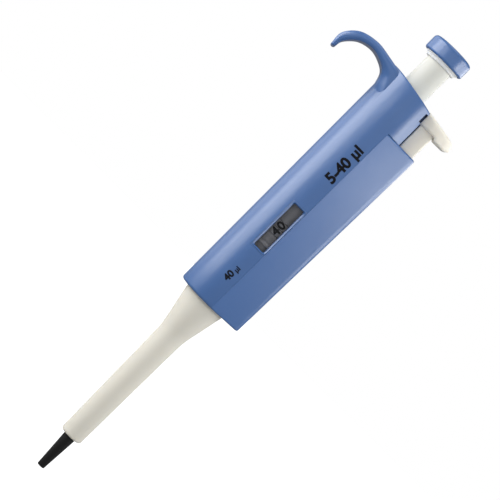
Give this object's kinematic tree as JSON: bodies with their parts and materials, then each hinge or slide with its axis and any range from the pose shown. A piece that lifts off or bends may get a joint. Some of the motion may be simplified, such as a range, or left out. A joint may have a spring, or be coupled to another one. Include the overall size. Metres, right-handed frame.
{
  "type": "adjustable micropipette",
  "caption": "Hand-held adjustable air-displacement pipette with finger hook, push button, side tip ejector and volume window.",
  "frame": {"origin": "the top of the finger gap: the inner apex of the finger hook, where the pipette rests on a finger or hangs from a stand", "axes": "+Z along the piston axis from the nozzle to the push button, +X away from the hook towards the tip ejector, -Y the side of the volume window"},
  "size_m": [0.0628, 0.0262, 0.2288],
  "materials": {
    "body_blue": "moulded, satin gloss, steel blue",
    "cream": "moulded, satin, warm off-white",
    "white": "moulded, white",
    "black": "chemically resistant black polymer, satin",
    "rubber": "greased elastomer",
    "lens": "clear polymer, polished, slightly smoked",
    "drum_metal": "anodised, dull grey",
    "steel": "drawn or ground, bright",
    "brass": "turned"
  },
  "bodies": {
    "handle": {"handle_shell": "body_blue", "ejector_cover": "body_blue", "window_frame": "body_blue", "window_pane": "lens", "guide_bush": "cream", "counter_carrier": "drum_metal", "pinion_shaft": "steel", "rotor_housing": "drum_metal", "thread_nut": "brass", "top_plate": "steel", "frame_post_1": "steel", "frame_post_2": "steel", "frame_post_3": "steel", "primary_spring": "steel", "nozzle_shaft": "black", "shaft_nut": "black", "piston_seal": "white", "piston_o_ring": "rubber", "seal_retainer": "white", "ejector_guide": "white", "ejector_spring": "steel"},
    "rotor": {"rotor": "brass", "units_drum": "drum_metal", "friction_ring": "rubber"},
    "stop": {"stop_sleeve": "white", "blowout_spring": "steel"},
    "tens_drum": {"tens_drum": "drum_metal"},
    "transfer_pinion": {"transfer_pinion": "white"},
    "plunger": {"push_button": "body_blue", "button_ring": "white", "plunger_sleeve": "cream", "plunger_rod": "steel", "rod_collar": "brass"},
    "piston": {"piston_head": "white", "piston": "steel"},
    "ejector": {"ejector_button": "cream", "ejector_rod": "steel", "rod_clip": "steel", "ejector_arm": "steel", "ejector_sleeve": "cream"}
  },
  "joints": [
    {"name": "volume_turn", "type": "hinge", "parent": "handle", "child": "rotor", "pos_m": [0.0234, 0, 0], "axis": [0, 0, 1], "range_deg": [-1260, 0]},
    {"name": "stop_travel", "type": "slide", "parent": "rotor", "child": "stop", "axis": [0, 0, 1], "range_m": [0, 0.0086]},
    {"name": "tens_drum_turn", "type": "hinge", "parent": "handle", "child": "tens_drum", "pos_m": [0.0234, 0, 0], "axis": [0, 0, -1], "range_deg": [0, 126.1]},
    {"name": "transfer_pinion_turn", "type": "hinge", "parent": "handle", "child": "transfer_pinion", "pos_m": [0.0234, 0.006, 0], "axis": [0, 0, -1], "range_deg": [0, 504.1]},
    {"name": "plunger_press", "type": "slide", "parent": "rotor", "child": "plunger", "axis": [0, 0, -1], "range_m": [0, 0.0122], "stiffness_N_per_m": 250, "springref_m": -0.006, "deforming": ["blowout_spring"]},
    {"name": "piston_travel", "type": "slide", "parent": "handle", "child": "piston", "axis": [0, 0, -1], "range_m": [0, 0.0122], "deforming": ["primary_spring"]},
    {"name": "ejector_press", "type": "slide", "parent": "handle", "child": "ejector", "axis": [0, 0, -1], "range_m": [0, 0.0086], "stiffness_N_per_m": 400, "springref_m": -0.005, "deforming": ["ejector_spring"]}
  ],
  "couplings": [
    {"joint": "stop_travel", "follows": "volume_turn", "m_per_rad": -0.00038993},
    {"joint": "tens_drum_turn", "follows": "volume_turn", "ratio": -0.1},
    {"joint": "transfer_pinion_turn", "follows": "volume_turn", "ratio": -0.4},
    {"joint": "piston_travel", "follows": "plunger_press", "ratio": 1}
  ]
}
